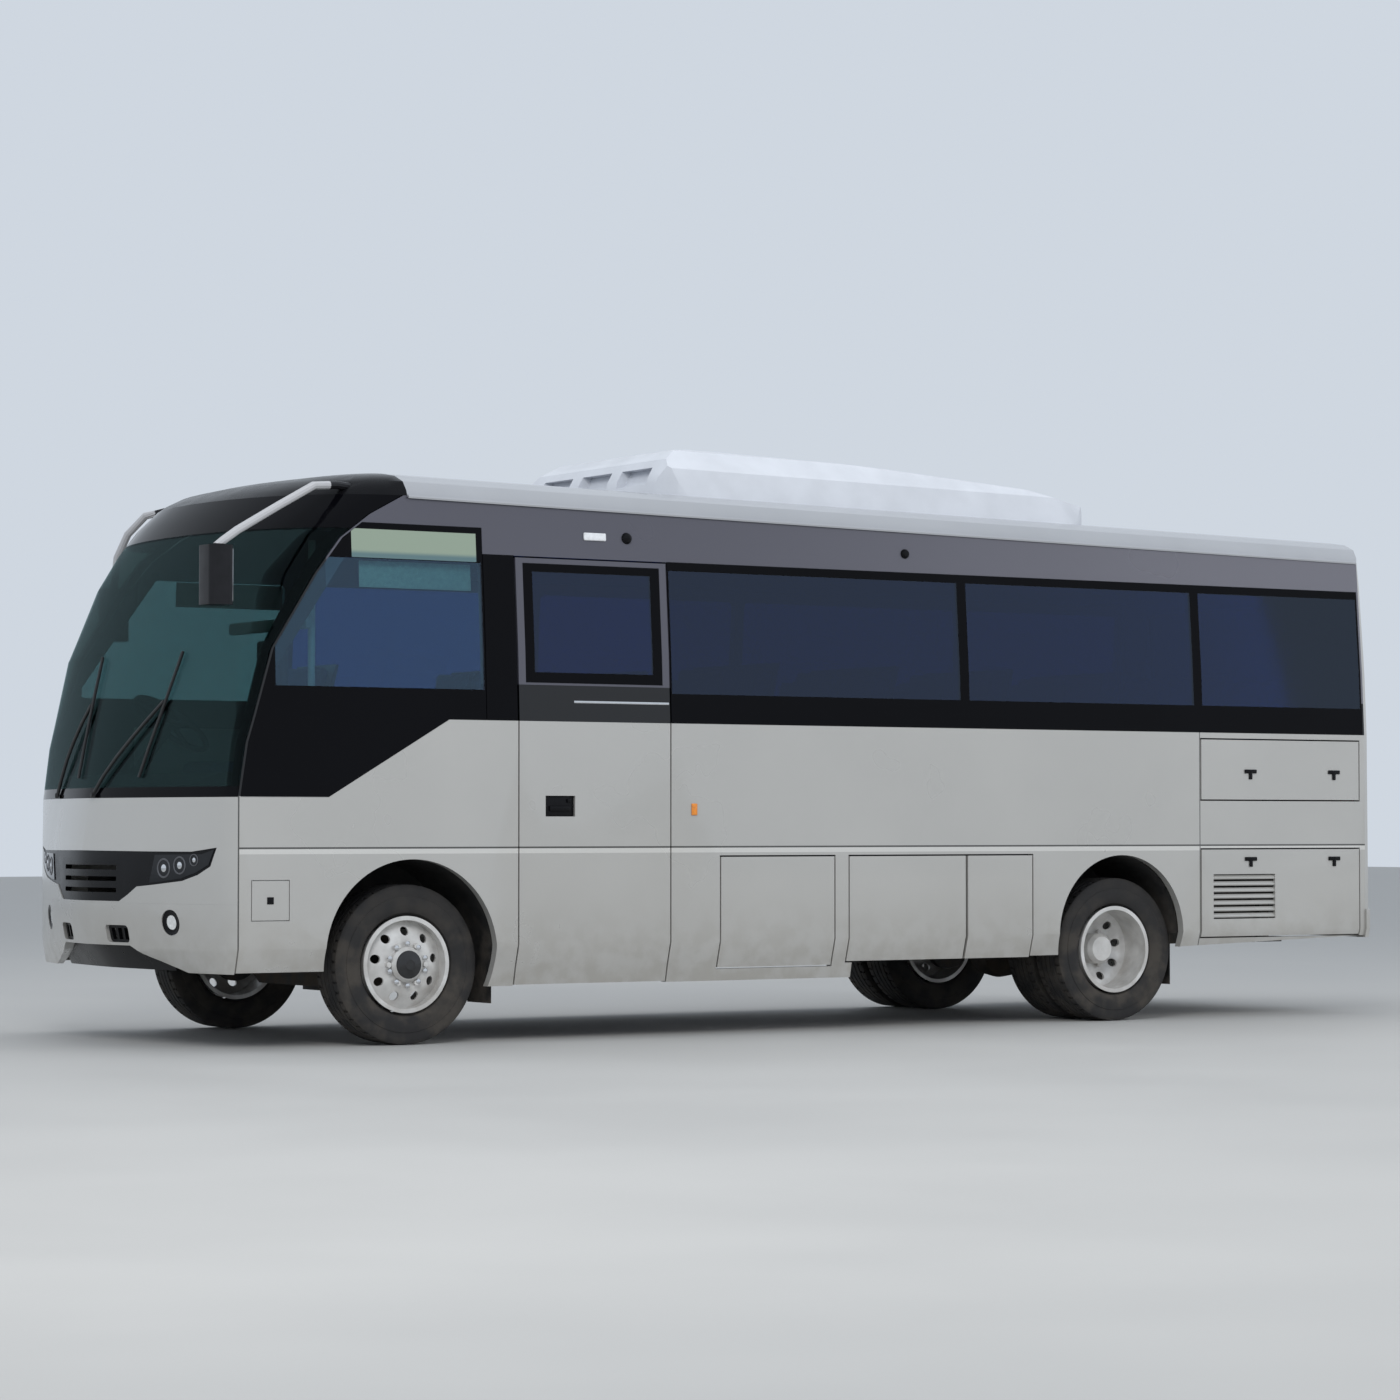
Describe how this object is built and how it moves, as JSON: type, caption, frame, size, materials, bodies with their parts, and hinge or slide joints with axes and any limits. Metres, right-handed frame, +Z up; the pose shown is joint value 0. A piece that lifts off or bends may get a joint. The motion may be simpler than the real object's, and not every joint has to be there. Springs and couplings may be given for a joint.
{
  "type": "airport passenger bus",
  "caption": "Midi coach for airport passengers: rear engine, one plug door, luggage bays, roof air conditioner, steered front wheels and twin rear wheels.",
  "frame": {"origin": "on the ground below the middle of the body", "axes": "+X forwards, +Y to the bus's left (door) side, +Z up"},
  "size_m": [7.55, 2.6, 3.0534],
  "materials": {
    "body_paint": "gloss metallic",
    "dark_paint": "gloss",
    "black_trim": "gloss",
    "frame_paint": "satin",
    "cast_parts": "matt",
    "spring_steel": "satin",
    "pipe_steel": "dull",
    "tank_paint": "satin",
    "floor_vinyl": "matt",
    "bay_lining": "matt",
    "liner_plastic": "matt",
    "front_glass": "clear, slightly tinted",
    "side_tint": "dark blue tint",
    "lamp_glass": "clear",
    "lamp_red": "gloss",
    "unit_white": "satin",
    "mirror_black": "gloss",
    "wiper_black": "matt",
    "dash_plastic": "grained",
    "seat_metal": "satin",
    "seat_cloth": "woven",
    "rack_plastic": "matt",
    "tyre_rubber": "matt",
    "wheel_silver": "silver"
  },
  "bodies": {
    "body": {"chassis_frame": "frame_paint", "front_axle": "cast_parts", "rear_axle": "cast_parts", "leaf_springs": "spring_steel", "engine_block": "cast_parts", "exhaust": "pipe_steel", "tanks": "tank_paint", "floor_deck": "floor_vinyl", "luggage_bays": "bay_lining", "wheel_liners": "liner_plastic", "side_wall_left": "body_paint", "side_wall_right": "body_paint", "roof_shell": "dark_paint", "front_cap": "black_trim", "front_frame": "black_trim", "windscreen": "front_glass", "side_glass": "side_tint", "front_panel": "body_paint", "front_grille": "black_trim", "headlamps": "lamp_glass", "front_bumper": "body_paint", "front_intake": "black_trim", "fog_lamps": "lamp_glass", "rear_panel": "body_paint", "rear_glass": "side_tint", "tail_lamps": "lamp_red", "rear_bumper": "body_paint", "air_conditioner": "unit_white", "mirrors": "mirror_black", "wipers": "wiper_black", "dashboard": "dash_plastic", "steering_wheel": "dash_plastic", "seat_frames": "seat_metal", "seat_pads": "seat_cloth", "luggage_racks": "rack_plastic"},
    "door_arm": {"door_arms": "frame_paint"},
    "door": {"door_leaf": "body_paint", "door_glass": "side_tint"},
    "luggage_flap_left_front": {"luggage_flap_left_front": "body_paint"},
    "luggage_flap_left_middle": {"luggage_flap_left_middle": "body_paint"},
    "luggage_flap_left_rear": {"luggage_flap_left_rear": "body_paint"},
    "luggage_flap_right_front": {"luggage_flap_right_front": "body_paint"},
    "luggage_flap_right_middle": {"luggage_flap_right_middle": "body_paint"},
    "luggage_flap_right_rear": {"luggage_flap_right_rear": "body_paint"},
    "service_flap_left_low": {"service_flap_left_low": "body_paint"},
    "service_flap_left_high": {"service_flap_left_high": "body_paint"},
    "service_flap_right_low": {"service_flap_right_low": "body_paint"},
    "fuel_flap": {"fuel_flap": "body_paint"},
    "engine_lid": {"engine_lid": "body_paint"},
    "knuckle_left": {"knuckle_left": "cast_parts"},
    "knuckle_right": {"knuckle_right": "cast_parts"},
    "tie_rod": {"tie_rod": "cast_parts"},
    "wheel_front_left": {"front_tyre_left": "tyre_rubber", "front_rim_left": "wheel_silver"},
    "wheel_front_right": {"front_tyre_right": "tyre_rubber", "front_rim_right": "wheel_silver"},
    "wheels_rear_left": {"rear_tyres_left": "tyre_rubber", "rear_rims_left": "wheel_silver"},
    "wheels_rear_right": {"rear_tyres_right": "tyre_rubber", "rear_rims_right": "wheel_silver"}
  },
  "joints": [
    {"name": "door_arm_swing", "type": "hinge", "parent": "body", "child": "door_arm", "pos_m": [1.909, 1.027, 1.3], "axis": [0, 0, -1], "range_deg": [0, 158]},
    {"name": "door_turn", "type": "hinge", "parent": "door_arm", "child": "door", "pos_m": [1.489, 1.027, 1.3], "axis": [0, 0, -1], "range_deg": [-158, 0]},
    {"name": "luggage_left_front", "type": "hinge", "parent": "body", "child": "luggage_flap_left_front", "pos_m": [0.41, 1.13, 0.907], "axis": [1, 0, 0], "range_deg": [0, 90]},
    {"name": "luggage_left_middle", "type": "hinge", "parent": "body", "child": "luggage_flap_left_middle", "pos_m": [-0.415, 1.13, 0.907], "axis": [1, 0, 0], "range_deg": [0, 90]},
    {"name": "luggage_left_rear", "type": "hinge", "parent": "body", "child": "luggage_flap_left_rear", "pos_m": [-1.021, 1.13, 0.907], "axis": [1, 0, 0], "range_deg": [0, 90]},
    {"name": "luggage_right_front", "type": "hinge", "parent": "body", "child": "luggage_flap_right_front", "pos_m": [0.41, -1.13, 0.907], "axis": [-1, 0, 0], "range_deg": [0, 90]},
    {"name": "luggage_right_middle", "type": "hinge", "parent": "body", "child": "luggage_flap_right_middle", "pos_m": [-0.415, -1.13, 0.907], "axis": [-1, 0, 0], "range_deg": [0, 90]},
    {"name": "luggage_right_rear", "type": "hinge", "parent": "body", "child": "luggage_flap_right_rear", "pos_m": [-1.021, -1.13, 0.907], "axis": [-1, 0, 0], "range_deg": [0, 90]},
    {"name": "service_left_low", "type": "hinge", "parent": "body", "child": "service_flap_left_low", "pos_m": [-3.0025, 1.1215, 0.452], "axis": [-1, 0, 0], "range_deg": [0, 90]},
    {"name": "service_right_low", "type": "hinge", "parent": "body", "child": "service_flap_right_low", "pos_m": [-3.0025, -1.1215, 0.452], "axis": [1, 0, 0], "range_deg": [0, 90]},
    {"name": "service_left_high", "type": "hinge", "parent": "body", "child": "service_flap_left_high", "pos_m": [-3.0025, 1.13, 1.544], "axis": [1, 0, 0], "range_deg": [0, 85]},
    {"name": "fuel_flap_turn", "type": "hinge", "parent": "body", "child": "fuel_flap", "pos_m": [3.41, 1.13, 0.71], "axis": [0, 0, -1], "range_deg": [0, 100]},
    {"name": "engine_lid_lift", "type": "hinge", "parent": "body", "child": "engine_lid", "pos_m": [-3.74912, 0, 1.532], "axis": [0, 1, 0], "range_deg": [0, 80]},
    {"name": "steer_left", "type": "hinge", "parent": "body", "child": "knuckle_left", "pos_m": [2.525, 0.77, 0.391], "axis": [0, 0, 1], "range_deg": [-35, 35]},
    {"name": "steer_right", "type": "hinge", "parent": "body", "child": "knuckle_right", "pos_m": [2.525, -0.77, 0.391], "axis": [0, 0, 1], "range_deg": [-35, 35]},
    {"name": "tie_rod_turn", "type": "hinge", "parent": "knuckle_left", "child": "tie_rod", "pos_m": [2.355, 0.77, 0.286], "axis": [0, 0, 1], "range_deg": [-35, 35]},
    {"name": "roll_front_left", "type": "hinge", "parent": "knuckle_left", "child": "wheel_front_left", "pos_m": [2.525, 0.925, 0.391], "axis": [0, 1, 0], "continuous": true},
    {"name": "roll_front_right", "type": "hinge", "parent": "knuckle_right", "child": "wheel_front_right", "pos_m": [2.525, -0.925, 0.391], "axis": [0, 1, 0], "continuous": true},
    {"name": "roll_rear_left", "type": "hinge", "parent": "body", "child": "wheels_rear_left", "pos_m": [-1.875, 0.935, 0.391], "axis": [0, 1, 0], "continuous": true},
    {"name": "roll_rear_right", "type": "hinge", "parent": "body", "child": "wheels_rear_right", "pos_m": [-1.875, -0.935, 0.391], "axis": [0, 1, 0], "continuous": true}
  ],
  "couplings": [
    {"joint": "door_turn", "follows": "door_arm_swing", "ratio": -1},
    {"joint": "steer_right", "follows": "steer_left", "ratio": 1},
    {"joint": "tie_rod_turn", "follows": "steer_left", "ratio": -1}
  ]
}
